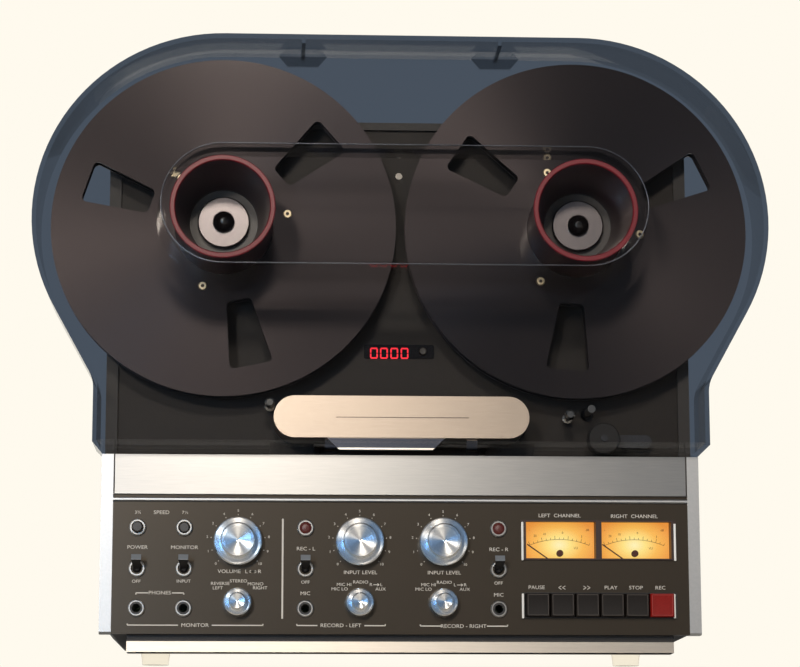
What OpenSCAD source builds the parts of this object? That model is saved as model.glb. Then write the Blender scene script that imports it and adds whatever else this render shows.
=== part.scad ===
// Reel-to-reel tape recorder with a clear dust cover, standing upright.
// Front faces -Y, +Z is up, the origin is under the middle of the whole machine.

/* [Cabinet] */
// Width of the cabinet
body_w = 452; // [440:1:480]
// Height of the cabinet with its feet
body_h = 418; // [412:1:444]
// Depth from the control panel's face to the rear cover's back
body_d = 190; // [180:1:230]
// Height of the feet under the cabinet
foot_h = 13; // [11:0.5:18]
// Height of the ledge above the control console
console_h = 148; // [147:1:156]
// Distance of the upper deck's face behind the control panel's face
deck_y = 40; // [38:1:46]
// Thickness of the cabinet's side walls
side_t = 9; // [8:0.5:12]
// Thickness of the cabinet's top and floor
slab_t = 6; // [4:0.5:8]
// Thickness of the deck, the ledge and the control panel
plate_t = 4; // [3:0.5:4.5]
// Thickness of the rear cover
rear_t = 4; // [3:0.5:8]

/* [Reels] */
// Outer diameter of a reel
reel_d = 266; // [250:1:270]
// Clear space between the two reels
reel_space = 7; // [5:0.5:14]
// Clear space between the reels and the head cover
reel_lift = 2; // [2:0.5:8]
// Clear width between the flanges of a reel
reel_gap = 8; // [7.2:0.1:9]
// Thickness of one reel flange
flange_t = 1.6; // [1.2:0.1:2]
// Diameter of the reel hub that the tape winds on
hub_d = 114; // [110:1:120]
// Diameter of the reel's centre hole
centre_hole_d = 76.2; // [74:0.1:80]
// Distance that the adapter's rim stands out past the centre hole
adapter_lip = 1.4; // [0.8:0.1:3]
// Length of the adapter in front of the reel
adapter_l = 68; // [40:1:72]

/* [Dust cover] */
// Clear space round the reels inside the dust cover
reel_clear = 9; // [6:0.5:11]
// Wall of the dust cover
cover_t = 3; // [2:0.25:4]
// Distance that the dust cover's foot stands out past each side of the cabinet
cover_overhang = 6.5; // [5.5:0.5:9]
// Distance of the dust cover's face in front of the control panel's face
cover_front = 18; // [17:0.5:24]
// Height of the raised field on the dust cover's face
bulge_rise = 48; // [44:0.5:54]
// Radius of the raised field's round ends
bulge_r = 46; // [45:1:56]

/* [Controls] */
// Diameter of a level knob's skirt
knob_d = 36; // [30:0.5:37]
// Diameter of a level knob's inner cap
cap_d = 26; // [20:0.5:28]
// Diameter of a selector knob
selector_d = 22; // [18:0.5:26]
// Distance that the knobs stand in front of the panel
knob_l = 17; // [14:0.5:20]
// Outer diameter of the round bezels on the panel
ring_d = 12.7; // [11.5:0.1:14]
// Bore of the jack sockets
jack_d = 6.4; // [6:0.1:7]
// Gap between two transport keys
key_space = 0.85; // [0.6:0.05:2.5]
// Travel of a transport key
key_travel = 3; // [1:0.5:4]
// Travel of a round push button
button_travel = 3.5; // [2:0.5:4]

/* [Hidden] */
$fn = 72;
run_fit = 0.05;
body_gap = 0.3;
// Arcs stand this much proud of the lines they join
arc_lap = 0.003;

half_w = body_w / 2;
inner_w = body_w - 2 * side_t;
floor_z = foot_h + slab_t;
roof_z = body_h - slab_t;
rim_y = deck_y - 3;
trim_d = 10;
panel_y = -(body_d - cover_front - bulge_rise) / 2;
deck_back = deck_y + plate_t;
chassis_y = deck_back + 8;
chassis_back = chassis_y + 4;

// Rows and columns of the control panel, in hundredths of the console's height and width
row = (console_h - foot_h) / 100;
column = inner_w / 100;
buttons_z = foot_h + 58.9 * row;
knobs_z = foot_h + 51.1 * row;
toggles_z = foot_h + 36.1 * row;
jacks_z = foot_h + 14.1 * row;
selectors_z = foot_h + 17.4 * row;
phones_x = [-45.7 * column, -37.65 * column];
volume_x = -28.35 * column;
record_x = [-16.7 * column, 16.8 * column];
level_x = [-7.3 * column, 7.2 * column];
knob_places = [volume_x, level_x[0], level_x[1]];
toggle_places = [phones_x[0], phones_x[1], record_x[0], record_x[1]];

// Strips across the front of the console
strip_z = foot_h + 77.8 * row;
bead_h = 3;
bead_z = strip_z - bead_h - 2.5;
panel_top = bead_z - 1.5;
tongue_y = 2;

// Round controls
ring_l = 2.5;
ring_bore = 9.1;
button_d = ring_bore - 2 * body_gap;
button_l = button_travel + 0.5;
lens_d = ring_bore - 2 * run_fit;
jack_barrel_d = 9;
jack_l = 30;
toggle_ball_r = 3;
toggle_tilt = 25;
toggle_l = 17;
knob_seat = 0.6;
knob_step = 9;
knob_shaft_d = 10;
pot_shaft_d = 6;
pot_shaft_l = 14;
pot_d = 20;
pot_front = 8;
board_y = 36;
board_t = 1.6;

// Level meters
meter_x = 34.3 * column;
meter_z = foot_h + 52.8 * row;
meter_w = 27.1 * column;
meter_h = 30;
meter_end = 3.75;
meter_middle = 4.4;
meter_window_w = (meter_w - meter_middle) / 2 - meter_end;
meter_window_h = meter_h - 2.2;
meter_pitch = meter_window_w + meter_middle;
meter_lip = 1.5;
meter_depth = 26;
dial_y = 12;
dial_t = 1.5;
needle_drop = 20;
needle_l = 30.5;
needle_rest = 54.8;
needle_y = 7;

// Transport keys
keys_x = 34.3 * column;
keys_z = foot_h + 16.3 * row;
key_pitch = 4.32 * column;
key_w = key_pitch - key_space;
key_h = 17.4;
key_front = 6;
key_back = 6;
key_stem_d = 6;
key_well_w = 6 * key_pitch + 0.3;
key_frame_w = key_well_w + 4.7;
key_frame_h = key_h + 2 * body_gap + 1.2;

// Reels and adapters, front to back
tape_lift = 20;
tape_y = deck_y - tape_lift;
flange_front = tape_y - reel_gap / 2 - flange_t;
flange_back = tape_y + reel_gap / 2 + flange_t;
rim_front = flange_front - adapter_l;
rim_l = 2.5;
adapter_d = centre_hole_d + 2 * adapter_lip;
adapter_body_d = centre_hole_d - 0.4;
adapter_mouth_d = adapter_body_d - 5;
adapter_floor_d = 52;
adapter_floor_y = tape_y - 0.7 * tape_lift;
lock_d = 40;
lock_t = 5;
dome_r = 8.5;
spindle_d = 8;
shaft_d = 10;
motor_d = 104;
motor_l = 70;

// Tape path
pinch_pivot = [half_w - 36, console_h + 16];
capstan_x = pinch_pivot[0] - 44;
capstan_z = console_h + 38;
capstan_d = 6;
capstan_front = tape_y - 12;
pinch_arm_l = 34;
pinch_d = 24;
pinch_w = 16;
head_cover_w = 194;
head_cover_h = 32;
head_z = console_h + head_cover_h / 2 + 13;
head_cover_front = deck_y - 44;
head_cover_back = deck_y - 10;
head_cover_t = 2;
head_base_t = 6;
hinge_d = 4;
hinge_at = [deck_y - 30, console_h + 9];
guide_places = [[-head_cover_w / 2 - 3, console_h + 42], [head_cover_w / 2 + 33, console_h + 34]];
spindle_span = reel_d + reel_space;
spindle_z = head_z + head_cover_h / 2 + reel_lift + reel_d / 2;

// Counter
counter_z = console_h + 87;
counter_w = 54.4;
counter_h = 10.6;
reset_x = 18.5;
reset_d = 6;

// Dust cover
cover_r = reel_d / 2 + reel_clear + cover_t;
cover_foot_w = body_w + 2 * cover_overhang;
cover_back = rim_y - 1;
cover_slant = 29;
cover_waist_r = 26;
cover_chin_z = console_h + 7;
cover_foot_z = console_h + body_gap;
cover_chin_d = 20;

// Sub-parts in the order of a bench strip-down

// Helpers: profiles drawn as (y, z) run along X, profiles drawn as (x, z) run along Y
module bar_x(l) {
    rotate([90, 0, 90]) linear_extrude(l, center = true) children();
}

module slab_y(y0, y1) {
    translate([0, y1, 0]) rotate([90, 0, 0]) linear_extrude(y1 - y0) children();
}

module rod_y(d, y0, y1) {
    translate([0, y0, 0]) rotate([-90, 0, 0]) cylinder(d = d, h = y1 - y0);
}

module cone_y(d0, d1, y0, y1) {
    translate([0, y0, 0]) rotate([-90, 0, 0]) cylinder(d1 = d0, d2 = d1, h = y1 - y0);
}

// A (radius, y) profile turned about the Y axis
module turned_y() {
    rotate([-90, 0, 0]) rotate_extrude() children();
}

module box_between(a, b) {
    translate(a) cube(b - a);
}

module at_xz(x, z) {
    translate([x, 0, z]) children();
}

module mirrored_x() {
    children();
    mirror([1, 0, 0]) children();
}

module on_both_spindles() {
    for (side = [-1, 1]) at_xz(side * spindle_span / 2, spindle_z) children();
}

function toward(a, b) = (b - a) / norm(b - a);

function half_angle(u, v) = acos(u * v) / 2;

// A convex outline with every corner rounded by one radius
module rounded(points, r) {
    n = len(points);
    corners = [for (i = [0 : n - 1])
        let (p = points[i], u = toward(p, points[(i + n - 1) % n]), v = toward(p, points[(i + 1) % n]),
             half = half_angle(u, v))
        [p + u * r / tan(half), p + v * r / tan(half), p + (u + v) / norm(u + v) * r / sin(half)]];
    polygon([for (c = corners, k = [0, 1]) c[k]]);
    for (c = corners) translate(c[2]) circle(r + arc_lap);
}

module rounded_rect(w, h, r) {
    rounded([[-w / 2, -h / 2], [w / 2, -h / 2], [w / 2, h / 2], [-w / 2, h / 2]], r);
}

// Sloped cut along both lower side edges of the cabinet
lower_slope = 10;

module lower_cut() {
    for (s = [-1, 1]) slab_y(trim_d, body_d + 1) polygon([
        [s * (half_w + 1), foot_h - 1], [s * (half_w - lower_slope - 1), foot_h - 1],
        [s * (half_w + 1), foot_h + lower_slope + 1]]);
}

// Feet: a silver bar under the front on a dark carrier, and two round feet under the back
foot_w = body_w - 41;
foot_d = 20;
foot_y = 6;
foot_bar_h = foot_h - 5;
rear_foot_d = 24;
rear_foot_inset = [36, 26];

module feet() {
    color("silver") {
        box_between([-foot_w / 2, foot_y, 0], [foot_w / 2, foot_y + foot_d, foot_bar_h]);
        for (s = [-1, 1]) translate([s * (half_w - rear_foot_inset[0]), body_d - rear_foot_inset[1], 0])
            cylinder(d1 = rear_foot_d - 3, d2 = rear_foot_d, h = foot_h);
    }
}

// Cabinet: one shell of floor, sides and top, open at the front and the back
module cabinet() {
    color("#2b2826") {
        box_between([-foot_w / 2, foot_y + 1, foot_bar_h], [foot_w / 2, foot_y + foot_d, foot_h + 1]);
        box_between([-inner_w / 2, plate_t, foot_h], [inner_w / 2, trim_d, floor_z]);
        difference() {
            bar_x(body_w) polygon([
                [trim_d, foot_h], [body_d - rear_t, foot_h], [body_d - rear_t, body_h],
                [rim_y, body_h], [rim_y, console_h], [trim_d, console_h]]);
            box_between([-inner_w / 2, -1, floor_z], [inner_w / 2, body_d, roof_z]);
            lower_cut();
        }
    }
}

// Rear cover with cooling slots, and the sunk socket board behind its opening
slot_w = 60;
slot_h = 5;
slot_pitch = 12;
slot_rows = 9;
slot_columns = [-140, -70, 0, 70, 140];
slots_z = body_h - 164;
socket_field = [300, 40];
socket_field_z = foot_h + 51;
socket_rows = 2;
socket_columns = 5;
socket_pitch = 16;
socket_d = 8.4;
socket_pin_d = 3.4;
sockets_x = -100;
inlet_x = 110;
inlet_size = [28, 20];
inlet_l = 16;

module socket_board() {
    back = body_d - rear_t;
    at_xz(0, socket_field_z) difference() {
        union() {
            slab_y(back - 3, back) square([socket_field[0] + 10, socket_field[1] + 10], center = true);
            for (i = [0 : socket_columns - 1], j = [0 : socket_rows - 1])
                at_xz(sockets_x + i * socket_pitch, (j - 0.5) * socket_pitch) rod_y(socket_d, back - 3, body_d - 0.5);
            at_xz(inlet_x, 0) slab_y(back - inlet_l - 2, body_d - 1) rounded_rect(inlet_size[0], inlet_size[1], 3);
        }
        for (i = [0 : socket_columns - 1], j = [0 : socket_rows - 1])
            at_xz(sockets_x + i * socket_pitch, (j - 0.5) * socket_pitch)
                rod_y(socket_pin_d, back - 4, body_d + 1);
        at_xz(inlet_x, 0) slab_y(back - inlet_l, body_d + 1) rounded_rect(inlet_size[0] - 4, inlet_size[1] - 4, 1);
    }
}

module rear_cover() {
    color("#242220") {
        socket_board();
        difference() {
            box_between([-half_w, body_d - rear_t, foot_h], [half_w, body_d, body_h]);
            for (x = slot_columns, i = [0 : slot_rows - 1])
                at_xz(x, slots_z + i * slot_pitch)
                    slab_y(body_d - rear_t - 1, body_d + 1) rounded_rect(slot_w, slot_h, slot_h / 2 - 0.05);
            at_xz(0, socket_field_z)
                slab_y(body_d - rear_t - 1, body_d + 1) rounded_rect(socket_field[0], socket_field[1], 4);
            lower_cut();
        }
    }
}

// Mounting plate inside, on pillars behind the deck
pillar_d = 12;
pillar_x = inner_w / 2 - 27;
pillars = [[-pillar_x, 165], [pillar_x, 200], [-pillar_x, 385], [pillar_x, 385], [0, 385], [0, 215]];

module chassis_plate() {
    color("#8d8f90") difference() {
        union() {
            box_between([-inner_w / 2 + body_gap, chassis_y, floor_z],
                        [inner_w / 2 - body_gap, chassis_back, roof_z]);
            for (p = pillars) at_xz(p[0], p[1]) rod_y(pillar_d, deck_back, chassis_y);
        }
        on_both_spindles() rod_y(shaft_d + 6, chassis_y - 1, chassis_back + 1);
        at_xz(capstan_x, capstan_z) rod_y(capstan_d + 6, chassis_y - 1, chassis_back + 1);
    }
}

// Deck face and console ledge in one bent plate
module deck_plate() {
    color("#34302d") difference() {
        union() {
            box_between([-inner_w / 2, deck_y, console_h - plate_t], [inner_w / 2, deck_back, roof_z]);
            box_between([-inner_w / 2, plate_t, console_h - plate_t], [inner_w / 2, deck_back, console_h]);
        }
        on_both_spindles() rod_y(shaft_d + 4, deck_y - 1, deck_back + 1);
        at_xz(capstan_x, capstan_z) rod_y(capstan_d + 4, deck_y - 1, deck_back + 1);
        at_xz(pinch_pivot[0], pinch_pivot[1])
            rod_y(pot_shaft_d + 2 * run_fit, deck_y - 1, deck_back + 1);
        at_xz(reset_x, counter_z) rod_y(reset_d + 2 * body_gap, deck_y - 1, deck_back + 1);
    }
}

// Control panel with its set-back tongue behind the bead
module control_panel() {
    color("#3a3531") difference() {
        union() {
            box_between([-inner_w / 2, 0, foot_h], [inner_w / 2, plate_t, panel_top]);
            box_between([-inner_w / 2, tongue_y, foot_h], [inner_w / 2, plate_t, strip_z]);
        }
        for (x = knob_places) {
            at_xz(x, knobs_z) rod_y(knob_shaft_d + 2 * run_fit, -1, plate_t + 1);
            at_xz(x, selectors_z) rod_y(pot_shaft_d + 2 * run_fit, -1, plate_t + 1);
        }
        for (x = toggle_places) {
            at_xz(x, toggles_z) rod_y(2 * (toggle_ball_r + body_gap), -1, plate_t + 1);
            at_xz(x, buttons_z) rod_y(ring_bore, -1, plate_t + 1);
            at_xz(x, jacks_z) rod_y(jack_barrel_d + 2 * run_fit, -1, plate_t + 1);
        }
        at_xz(meter_x, meter_z) slab_y(-1, plate_t + 1) square([meter_w, meter_h], center = true);
        at_xz(keys_x, keys_z) slab_y(-1, plate_t + 1) square([key_frame_w, key_frame_h], center = true);
    }
}

// Broad brushed strip above the control panel
module brushed_strip() {
    color("#c9c6c0") box_between([-inner_w / 2, 0, strip_z], [inner_w / 2, plate_t, console_h]);
}

// Bright trims down both front corners and the bead between strip and panel
trim_bevel = 1.5;

module silver_trims() {
    color("silver") {
        for (side = [-1, 1]) translate([side * (half_w - side_t / 2), 0, 0])
            bar_x(side_t) polygon([
                [0, foot_h + trim_bevel], [trim_bevel, foot_h], [trim_d, foot_h],
                [trim_d, console_h], [0, console_h]]);
        bar_x(inner_w) polygon([
            [0.8, bead_z], [tongue_y, bead_z], [tongue_y, bead_z + bead_h], [0.8, bead_z + bead_h],
            [0, bead_z + bead_h / 2 + 0.6], [0, bead_z + bead_h / 2 - 0.6]]);
    }
}

// One outer-rotor motor standing on the back of the chassis plate
module motor(d, l, bore) {
    turned_y() polygon([
        [bore / 2, chassis_back], [d * 0.3, chassis_back], [d * 0.3, chassis_back + 6],
        [d / 2 - 4, chassis_back + 6], [d / 2, chassis_back + 10], [d / 2, chassis_back + l - 6],
        [d / 2 - 6, chassis_back + l], [bore / 2, chassis_back + l]]);
}

capstan_motor_d = 96;

module drive_motors() {
    color("#55575a") {
        on_both_spindles() motor(motor_d, motor_l, shaft_d + 2 * run_fit);
        at_xz(capstan_x, capstan_z) motor(capstan_motor_d, motor_l, capstan_d + 2 * run_fit);
    }
}

// Mains transformer, and the control board with its switches and controls
transformer_size = [84, 56, 70];
transformer_at = [-130, 100];
coil_gap = 14;
coil_lap = 12;
switch_size = [11, 16];

module transformer() {
    t = transformer_size;
    translate([transformer_at[0], transformer_at[1], floor_z]) {
        box_between([-t[0] / 2, 0, 0], [t[0] / 2, t[1], t[2]]);
        for (side = [-1, 1]) translate([side * coil_gap, t[1] / 2, t[2] / 2])
            rotate([90, 0, 0]) cylinder(d = t[2] * 0.7, h = t[1] + 2 * coil_lap, center = true);
    }
}

module control_board() {
    difference() {
        union() {
            box_between([-inner_w / 2 + 10, board_y, floor_z],
                        [inner_w / 2 - 10, board_y + board_t, panel_top - 2]);
            for (x = knob_places) {
                at_xz(x, knobs_z) rod_y(pot_d, pot_front, board_y);
                at_xz(x, selectors_z) rod_y(pot_d, pot_front, board_y);
            }
            for (x = toggle_places) at_xz(x, toggles_z)
                slab_y(plate_t + 0.5, board_y) rounded_rect(switch_size[0], switch_size[1], 1);
        }
        for (x = knob_places, z = [knobs_z, selectors_z])
            at_xz(x, z) rod_y(pot_shaft_d + 2 * run_fit, pot_front - 1, pot_front + 12);
    }
}

module electronics() {
    color("#4a5a3c") {
        transformer();
        control_board();
    }
}

// Head carrier on the deck, with the pin that the head cover folds on
hinge_arm_x = 64;
hinge_arm_w = 4;
heads_x = [-50, -12, 28];
head_w = 16;

module head_block() {
    base_y = deck_y - head_base_t;
    color("#26231f") {
        at_xz(0, head_z) slab_y(base_y, deck_y) rounded_rect(head_cover_w - 12, head_cover_h - 8, 8);
        for (side = [-1, 1]) translate([side * hinge_arm_x, 0, 0])
            bar_x(hinge_arm_w) polygon([
                [deck_y, head_z - 6], [deck_y, hinge_at[1] - hinge_d / 2],
                [hinge_at[0], hinge_at[1] - hinge_d / 2], [hinge_at[0], hinge_at[1] + hinge_d / 2],
                [head_cover_back + 1, hinge_at[1] + hinge_d - 1], [base_y, head_z - 6]]);
        translate([-hinge_arm_x - hinge_arm_w / 2, hinge_at[0], hinge_at[1]])
            rotate([0, 90, 0]) cylinder(d = hinge_d, h = 2 * hinge_arm_x + hinge_arm_w);
    }
}

// Erase, record and playback heads, their faces turned up to the tape
module tape_heads() {
    color("#9a9a98") for (x = heads_x) translate([x, 0, 0]) {
        box_between([-head_w / 2, tape_y - 6, head_z - 6], [head_w / 2, deck_y - head_base_t, head_z + 2]);
        at_xz(0, head_z + 2) rod_y(head_w, tape_y - 6, deck_y - head_base_t);
    }
}

// Polished guide posts beside the heads
guide_d = 5;
guide_cap_d = 8;
guide_l = 30;

module tape_guides() {
    color("#d8d4cc") for (p = guide_places) at_xz(p[0], p[1]) turned_y() polygon([
        [0, deck_y - guide_l], [guide_cap_d / 2 - 1.5, deck_y - guide_l], [guide_cap_d / 2, deck_y - guide_l + 1.5],
        [guide_cap_d / 2, deck_y - guide_l + 4], [guide_d / 2, deck_y - guide_l + 4.6],
        [guide_d / 2, deck_y - 10], [guide_cap_d / 2, deck_y - 9.4], [guide_cap_d / 2, deck_y], [0, deck_y]]);
}

// Counter window on the deck, with a hole for its reset button
counter_rise = 1.4;

module counter_window() {
    color("#100d0c") at_xz(0, counter_z) difference() {
        slab_y(deck_y - counter_rise, deck_y) rounded_rect(counter_w, counter_h, 1.2);
        at_xz(reset_x, 0) rod_y(reset_d + 2 * body_gap, deck_y - counter_rise - 1, deck_y + 1);
    }
}

module counter_reset() {
    color("#4a4744") at_xz(reset_x, counter_z) turned_y() polygon([
        [0, deck_y - counter_rise - 3], [reset_d / 2 - 0.6, deck_y - counter_rise - 3],
        [reset_d / 2, deck_y - counter_rise - 2.4], [reset_d / 2, deck_back], [0, deck_back]]);
}

// Bezels round the buttons, the toggles and the record lamps
module bezel() {
    turned_y() polygon([
        [ring_bore / 2, -ring_l], [ring_d / 2 - 0.8, -ring_l], [ring_d / 2, -ring_l + 0.8],
        [ring_d / 2, 0], [ring_bore / 2, 0]]);
}

module panel_rings() {
    color("#bdbab4") for (x = toggle_places, z = [buttons_z, toggles_z]) at_xz(x, z) bezel();
}

// Jack sockets: a nut on the panel and a barrel behind it
module jack_sockets() {
    color("#bdbab4") for (x = toggle_places) at_xz(x, jacks_z) turned_y() polygon([
        [jack_d / 2, -ring_l + 1.2], [jack_d / 2 + 1.2, -ring_l], [ring_d / 2 - 0.8, -ring_l],
        [ring_d / 2, -ring_l + 0.8], [ring_d / 2, 0], [jack_barrel_d / 2, 0],
        [jack_barrel_d / 2, jack_l], [jack_d / 2, jack_l]]);
}

// Red lenses of the two record lamps
module record_lamps() {
    color("#8c1a14") for (x = record_x) at_xz(x, buttons_z) turned_y() polygon([
        [0, -ring_l - 0.6], [lens_d / 2 - 2, -ring_l - 0.3], [lens_d / 2, -ring_l + 0.8],
        [lens_d / 2, plate_t], [0, plate_t]]);
}

// Level meters: housing through the panel, lit dials, windows and needles
module at_meters() {
    for (side = [-1, 1]) at_xz(meter_x + side * meter_pitch / 2, meter_z) children();
}

meter_box_z = [-27, 17];
needle_hub_d = 6;
needle_pin_d = 2;
needle_w = 0.9;
needle_t = 0.6;

module meter_housing() {
    color("#1c1816") difference() {
        at_xz(meter_x, meter_z) {
            slab_y(-meter_lip, plate_t) square([meter_w, meter_h], center = true);
            box_between([-meter_w / 2, plate_t, meter_box_z[0]], [meter_w / 2, meter_depth, meter_box_z[1]]);
        }
        at_meters() {
            slab_y(-meter_lip - 1, plate_t + 1) square([meter_window_w, meter_window_h], center = true);
            box_between([-meter_window_w / 2, plate_t, meter_box_z[0] + 2],
                        [meter_window_w / 2, dial_y, meter_box_z[1] - 1]);
        }
    }
}

module meter_dials() {
    color("#f2b04a") at_meters() difference() {
        box_between([-meter_window_w / 2, dial_y - dial_t, meter_box_z[0] + 2],
                    [meter_window_w / 2, dial_y, meter_box_z[1] - 1]);
        at_xz(0, -needle_drop) rod_y(needle_pin_d + 2 * run_fit, dial_y - dial_t - 1, dial_y + 1);
    }
}

module meter_windows() {
    color("#f4e6c8", 0.35) at_meters()
        slab_y(-0.6, 0.6) square([meter_window_w, meter_window_h], center = true);
}

module needle() {
    at_xz(0, -needle_drop) {
        rod_y(needle_hub_d, needle_y - needle_t, dial_y - dial_t - body_gap);
        rod_y(needle_pin_d, needle_y, dial_y - 0.2);
        rotate([0, -needle_rest, 0])
            box_between([-needle_w / 2, needle_y - needle_t / 2, 0], [needle_w / 2, needle_y + needle_t / 2, needle_l]);
    }
}

module left_needle() {
    color("#2a120c") at_xz(meter_x - meter_pitch / 2, meter_z) needle();
}

module right_needle() {
    color("#2a120c") at_xz(meter_x + meter_pitch / 2, meter_z) needle();
}

// Well of the transport keys, with a guide hole for each key's stem
key_floor_y = key_back + key_travel + 2;
key_floor_t = 3;

module at_key(i) {
    at_xz(keys_x + (i - 2.5) * key_pitch, keys_z) children();
}

module key_frame() {
    color("#1c1916") difference() {
        at_xz(keys_x, keys_z)
            slab_y(-meter_lip, key_floor_y + key_floor_t) square([key_frame_w, key_frame_h], center = true);
        at_xz(keys_x, keys_z)
            slab_y(-meter_lip - 1, key_floor_y) square([key_well_w, key_h + 2 * body_gap], center = true);
        for (i = [0 : 5]) at_key(i)
            rod_y(key_stem_d + 2 * run_fit, key_floor_y - 1, key_floor_y + key_floor_t + 1);
    }
}

// One transport key: a dished cap on a stem
key_dish_r = 60;
key_dish = 0.6;
key_bevel = 1.2;

module key(i) {
    at_key(i) {
        difference() {
            intersection() {
                slab_y(-key_front, key_back) square([key_w, key_h], center = true);
                bar_x(key_w) polygon([
                    [-key_front + key_bevel, -key_h / 2], [key_back, -key_h / 2], [key_back, key_h / 2],
                    [-key_front + key_bevel, key_h / 2], [-key_front, key_h / 2 - key_bevel],
                    [-key_front, -key_h / 2 + key_bevel]]);
                linear_extrude(key_h, center = true) polygon([
                    [-key_w / 2 + key_bevel, -key_front], [key_w / 2 - key_bevel, -key_front],
                    [key_w / 2, -key_front + key_bevel], [key_w / 2, key_back],
                    [-key_w / 2, key_back], [-key_w / 2, -key_front + key_bevel]]);
            }
            translate([0, -key_front - key_dish_r + key_dish, 0])
                rotate([0, 90, 0]) cylinder(r = key_dish_r, h = key_w - 4, center = true);
        }
        rod_y(key_stem_d, key_back, key_floor_y + key_floor_t + 1);
    }
}

key_black = "#2c2622";

module pause_key() { color(key_black) key(0); }
module rewind_key() { color(key_black) key(1); }
module forward_key() { color(key_black) key(2); }
module play_key() { color(key_black) key(3); }
module stop_key() { color(key_black) key(4); }
module record_key() { color("#9c2216") key(5); }

// Round push buttons that choose the tape speed; one stands latched in
module button(x, pressed) {
    at_xz(x, buttons_z) translate([0, pressed, 0]) turned_y() polygon([
        [0, -ring_l - button_l], [button_d / 2 - 1, -ring_l - button_l],
        [button_d / 2, -ring_l - button_l + 1], [button_d / 2, plate_t + 3], [0, plate_t + 3]]);
}

module slow_button() { color("#2a2624") button(phones_x[0], 0); }
module fast_button() { color("#2a2624") button(phones_x[1], button_travel); }

// Flat levers, each turning on a pin through its ball in the panel's hole
toggle_ball_y = 1;
toggle_pin_d = 2;
toggle_root = [4, 3];
toggle_tip = [7.4, 4.6];

module toggle(x) {
    translate([x, toggle_ball_y, toggles_z]) rotate([-toggle_tilt, 0, 0]) {
        sphere(r = toggle_ball_r);
        rotate([0, 90, 0]) cylinder(d = toggle_pin_d, h = 2 * toggle_ball_r + body_gap, center = true);
        intersection() {
            bar_x(toggle_tip[0] + 1) polygon([
                [0, -toggle_root[1] / 2], [0, toggle_root[1] / 2],
                [-toggle_l, toggle_tip[1] / 2], [-toggle_l, -toggle_tip[1] / 2]]);
            linear_extrude(2 * toggle_tip[1], center = true) polygon([
                [-toggle_root[0] / 2, 0], [-toggle_tip[0] / 2, -toggle_l],
                [toggle_tip[0] / 2, -toggle_l], [toggle_root[0] / 2, 0]]);
        }
    }
}

module power_toggle() { color("#d6d3cc") toggle(toggle_places[0]); }
module monitor_toggle() { color("#d6d3cc") toggle(toggle_places[1]); }
module left_record_toggle() { color("#d6d3cc") toggle(toggle_places[2]); }
module right_record_toggle() { color("#d6d3cc") toggle(toggle_places[3]); }

// Level knobs: a skirt on a hollow shaft, and a cap whose own shaft runs through it
index_w = 0.9;
index_d = 1.6;
index_depth = 0.5;
volume_turn = 222;
level_turn = 133;
selector_turns = [90, 44, 135];
selector_cap_d = 13;
selector_step = 10;

module index_spot(r, turn, face) {
    at_xz(r * cos(turn), r * sin(turn)) rod_y(index_d, face - 1, face + index_depth);
}

module level_knob(x, turn) {
    bore = pot_shaft_d + 2 * run_fit;
    at_xz(x, knobs_z) difference() {
        turned_y() polygon([
            [bore / 2, -knob_step], [knob_d / 2 - 0.8, -knob_step], [knob_d / 2, -knob_step + 0.8],
            [knob_d / 2, -knob_seat], [knob_shaft_d / 2, -knob_seat],
            [knob_shaft_d / 2, pot_front - 0.5], [bore / 2, pot_front - 0.5]]);
        index_spot((cap_d + knob_d) / 4, turn, -knob_step);
    }
}

module level_cap(x, turn) {
    base = -knob_step - body_gap;
    at_xz(x, knobs_z) difference() {
        turned_y() polygon([
            [0, -knob_l + 0.5], [cap_d / 2 - 3, -knob_l], [cap_d / 2 - 1, -knob_l], [cap_d / 2, -knob_l + 1],
            [cap_d / 2, base], [pot_shaft_d / 2, base], [pot_shaft_d / 2, pot_shaft_l], [0, pot_shaft_l]]);
        index_spot(cap_d / 2 - 2, turn, -knob_l);
    }
}

knob_silver = "#cfccc6";

module volume_knob() { color(knob_silver) level_knob(knob_places[0], volume_turn); }
module volume_cap() { color(knob_silver) level_cap(knob_places[0], volume_turn); }
module left_level_knob() { color(knob_silver) level_knob(knob_places[1], level_turn); }
module left_level_cap() { color(knob_silver) level_cap(knob_places[1], level_turn); }
module right_level_knob() { color(knob_silver) level_knob(knob_places[2], level_turn); }
module right_level_cap() { color(knob_silver) level_cap(knob_places[2], level_turn); }

// Selector knobs under the level knobs, each with a raised middle
module selector(i) {
    at_xz(knob_places[i], selectors_z) difference() {
        turned_y() polygon([
            [0, -knob_l + 0.3], [selector_cap_d / 2 - 1, -knob_l], [selector_cap_d / 2, -knob_l + 1],
            [selector_cap_d / 2, -selector_step], [selector_d / 2 - 1.6, -selector_step],
            [selector_d / 2 - 0.8, -selector_step + 0.8], [selector_d / 2, -3], [selector_d / 2, -knob_seat],
            [pot_shaft_d / 2, -knob_seat], [pot_shaft_d / 2, pot_shaft_l], [0, pot_shaft_l]]);
        index_spot((selector_cap_d + selector_d) / 4 - 0.5, selector_turns[i], -selector_step);
    }
}

module monitor_selector() { color(knob_silver) selector(0); }
module left_selector() { color(knob_silver) selector(1); }
module right_selector() { color(knob_silver) selector(2); }

// Turntable with its spindle in front and the motor shaft behind
platter_d = 100;
platter_t = 5;
platter_boss_d = 30;
stem_l = 7;

module turntable() {
    boss_back = deck_y - body_gap;
    turned_y() polygon([
        [0, adapter_floor_y + stem_l + 0.5], [spindle_d / 2, adapter_floor_y + stem_l + 0.5],
        [spindle_d / 2, flange_back], [platter_d / 2, flange_back], [platter_d / 2, flange_back + platter_t],
        [platter_boss_d / 2, flange_back + platter_t], [platter_boss_d / 2, boss_back],
        [shaft_d / 2, boss_back], [shaft_d / 2, chassis_back + motor_l - 10], [0, chassis_back + motor_l - 10]]);
}

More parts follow.
